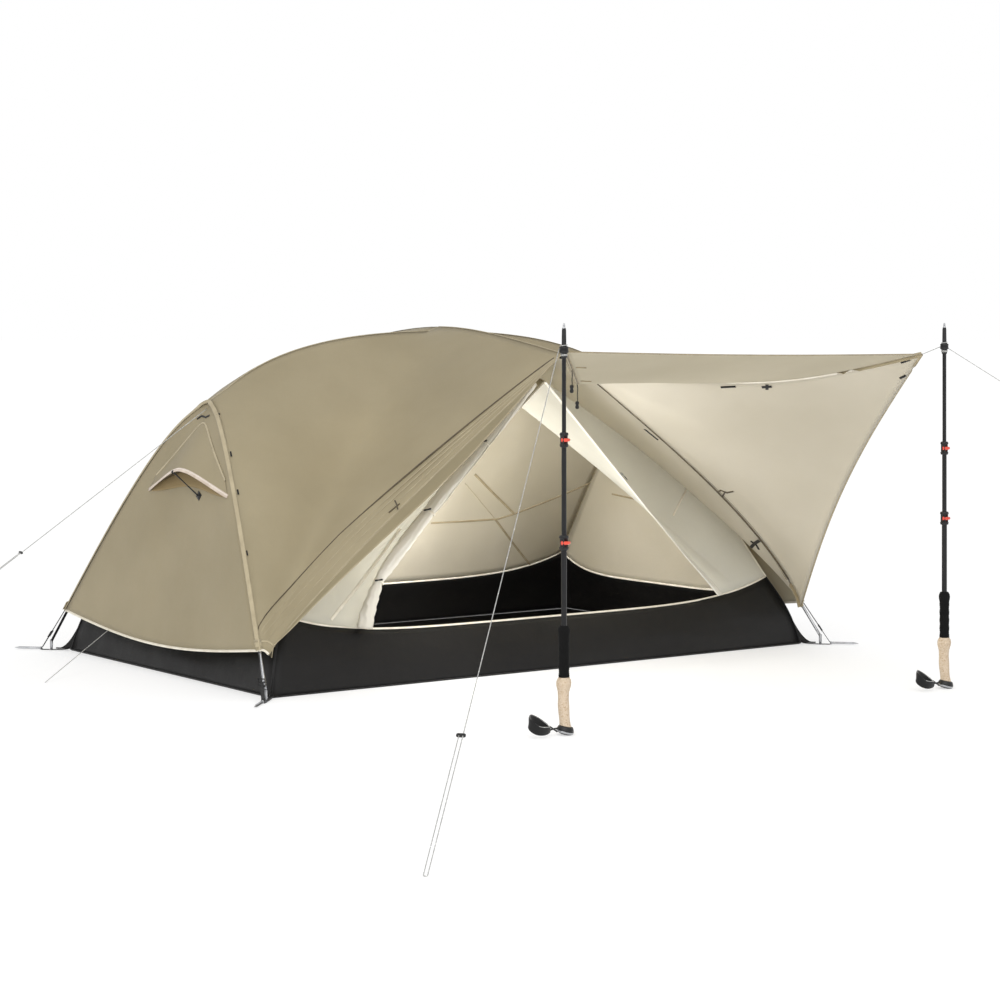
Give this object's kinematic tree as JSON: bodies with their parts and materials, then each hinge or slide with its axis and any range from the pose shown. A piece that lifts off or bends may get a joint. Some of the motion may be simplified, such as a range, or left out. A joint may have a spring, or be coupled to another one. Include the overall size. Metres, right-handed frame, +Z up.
{
  "type": "backpacking tent",
  "caption": "Hubbed dome tent for backpacking, fly pitched, inner door rolled back, front door panel held out as an awning on trekking poles.",
  "frame": {"origin": "on the ground, under the middle of the tub floor", "axes": "+X along the tent to its right end seen from the door, +Y from the door side to the back, +Z up"},
  "size_m": [3.2669, 4.3039, 1.127],
  "materials": {
    "fly_ripstop": "khaki ripstop, faint grid, satin coating",
    "fly_coated_side": "pale coated inner side of the fly, translucent",
    "inner_nylon": "thin uncoated beige nylon",
    "inner_mesh": "pale fine mesh",
    "door_cloth": "cream nylon, rolled",
    "tub_black_nylon": "black coated nylon, slight sheen",
    "floor_black_nylon": "black coated nylon",
    "black_anodised_tube": "black anodised",
    "silver_tube": "silver grey anodised",
    "black_plastic": "moulded, fine grain",
    "red_lock_plastic": "red moulded",
    "black_webbing": "woven webbing",
    "grey_guy_cord": "braided cord",
    "grip_cork": "fine grained cork",
    "grip_foam": "closed cell foam"
  },
  "bodies": {
    "tent": {"awning_roof": "fly_coated_side", "awning_wall": "fly_coated_side", "brow_pole": "black_anodised_tube", "corner_webbing_back_left": "black_webbing", "corner_webbing_back_right": "black_webbing", "corner_webbing_front_left": "black_webbing", "corner_webbing_front_right": "black_webbing", "door_roll": "door_cloth", "fly_back_left": "fly_ripstop", "fly_back_right": "fly_ripstop", "fly_front_left": "fly_ripstop", "fly_front_right": "fly_ripstop", "fly_left_end": "fly_ripstop", "fly_right_end": "fly_ripstop", "guyline_front": "grey_guy_cord", "guyline_left": "grey_guy_cord", "guyline_right": "grey_guy_cord", "hem_cord": "grey_guy_cord", "hub_left": "black_plastic", "hub_right": "black_plastic", "inner_back": "inner_nylon", "inner_front_left": "inner_nylon", "inner_front_right": "inner_mesh", "inner_left_end": "inner_nylon", "inner_right_end": "inner_nylon", "leg_pole_back_left": "black_anodised_tube", "leg_pole_back_right": "black_anodised_tube", "leg_pole_front_left": "black_anodised_tube", "leg_pole_front_right": "black_anodised_tube", "ridge_pole": "black_anodised_tube", "trekking_pole_1_tip_section": "silver_tube", "trekking_pole_2_tip_section": "silver_tube", "tub_floor": "floor_black_nylon", "tub_wall": "tub_black_nylon", "vent_hood": "fly_ripstop"},
    "pole_1_middle": {"trekking_pole_1_middle_section": "silver_tube"},
    "pole_1_upper_lever": {"trekking_pole_1_upper_lever": "red_lock_plastic"},
    "pole_1_grip": {"trekking_pole_1_grip_shaft": "black_anodised_tube", "trekking_pole_1_foam_grip": "grip_foam", "trekking_pole_1_cork_grip": "grip_cork", "trekking_pole_1_grip_cap": "black_plastic"},
    "pole_1_lower_lever": {"trekking_pole_1_lower_lever": "red_lock_plastic"},
    "pole_1_wrist_strap": {"trekking_pole_1_wrist_strap": "black_webbing"},
    "pole_2_middle": {"trekking_pole_2_middle_section": "silver_tube"},
    "pole_2_upper_lever": {"trekking_pole_2_upper_lever": "red_lock_plastic"},
    "pole_2_grip": {"trekking_pole_2_grip_shaft": "black_anodised_tube", "trekking_pole_2_foam_grip": "grip_foam", "trekking_pole_2_cork_grip": "grip_cork", "trekking_pole_2_grip_cap": "black_plastic"},
    "pole_2_lower_lever": {"trekking_pole_2_lower_lever": "red_lock_plastic"},
    "pole_2_wrist_strap": {"trekking_pole_2_wrist_strap": "black_webbing"},
    "vent_strut": {"vent_strut": "black_plastic"},
    "tensioner_front": {"line_tensioner_front": "black_plastic"},
    "tensioner_left": {"line_tensioner_left": "black_plastic"},
    "zip_slider": {"door_zip_slider": "silver_tube"},
    "stake_front_left": {"stake_front_left": "silver_tube"},
    "stake_front_right": {"stake_front_right": "silver_tube"},
    "stake_back_left": {"stake_back_left": "silver_tube"},
    "stake_back_right": {"stake_back_right": "silver_tube"}
  },
  "joints": [
    {"name": "pole_1_upper_slide", "type": "slide", "parent": "tent", "child": "pole_1_middle", "axis": [0, 0, 1], "range_m": [0, 0.2]},
    {"name": "pole_1_upper_lever_hinge", "type": "hinge", "parent": "pole_1_middle", "child": "pole_1_upper_lever", "pos_m": [-0.776, -1.72205, 0.806], "axis": [0, 0, 1], "range_deg": [-120, 0]},
    {"name": "pole_1_lower_slide", "type": "slide", "parent": "pole_1_middle", "child": "pole_1_grip", "axis": [0, 0, 1], "range_m": [0, 0.2]},
    {"name": "pole_1_lower_lever_hinge", "type": "hinge", "parent": "pole_1_grip", "child": "pole_1_lower_lever", "pos_m": [-0.776, -1.72305, 0.525], "axis": [0, 0, 1], "range_deg": [-120, 0]},
    {"name": "pole_1_wrist_strap_hinge", "type": "hinge", "parent": "pole_1_grip", "child": "pole_1_wrist_strap", "pos_m": [-0.7868, -1.71, 0.015], "axis": [0, 1, 0], "range_deg": [0, 30]},
    {"name": "pole_2_upper_slide", "type": "slide", "parent": "tent", "child": "pole_2_middle", "axis": [0, 0, 1], "range_m": [0, 0.2]},
    {"name": "pole_2_upper_lever_hinge", "type": "hinge", "parent": "pole_2_middle", "child": "pole_2_upper_lever", "pos_m": [0.697, -1.72805, 0.741], "axis": [0, 0, 1], "range_deg": [-120, 0]},
    {"name": "pole_2_lower_slide", "type": "slide", "parent": "pole_2_middle", "child": "pole_2_grip", "axis": [0, 0, 1], "range_m": [0, 0.17]},
    {"name": "pole_2_lower_lever_hinge", "type": "hinge", "parent": "pole_2_grip", "child": "pole_2_lower_lever", "pos_m": [0.697, -1.72905, 0.525], "axis": [0, 0, 1], "range_deg": [-120, 0]},
    {"name": "pole_2_wrist_strap_hinge", "type": "hinge", "parent": "pole_2_grip", "child": "pole_2_wrist_strap", "pos_m": [0.6862, -1.716, 0.015], "axis": [0, 1, 0], "range_deg": [0, 30]},
    {"name": "vent_strut_hinge", "type": "hinge", "parent": "tent", "child": "vent_strut", "pos_m": [-1.03026, 0.02614, 0.64452], "axis": [-0.2268, 0.4507, -0.8634], "range_deg": [0, 45]},
    {"name": "tensioner_front_slide", "type": "slide", "parent": "tent", "child": "tensioner_front", "axis": [-0.6196, -0.5946, -0.5124], "range_m": [0, 0.2]},
    {"name": "tensioner_left_slide", "type": "slide", "parent": "tent", "child": "tensioner_left", "axis": [-0.8343, 0.0001, -0.5513], "range_m": [0, 0.12]},
    {"name": "zip_slider_slide", "type": "slide", "parent": "tent", "child": "zip_slider", "axis": [-0.7023, 0, 0.7118], "range_m": [-0.04, 0.04]},
    {"name": "stake_front_left_pull", "type": "slide", "parent": "tent", "child": "stake_front_left", "axis": [-0.7071, -0.7071, 0], "range_m": [0, 0.1]},
    {"name": "stake_front_right_pull", "type": "slide", "parent": "tent", "child": "stake_front_right", "axis": [0.7071, -0.7071, 0], "range_m": [0, 0.1]},
    {"name": "stake_back_left_pull", "type": "slide", "parent": "tent", "child": "stake_back_left", "axis": [-0.7071, 0.7071, 0], "range_m": [0, 0.1]},
    {"name": "stake_back_right_pull", "type": "slide", "parent": "tent", "child": "stake_back_right", "axis": [0.7071, 0.7071, 0], "range_m": [0, 0.1]}
  ]
}
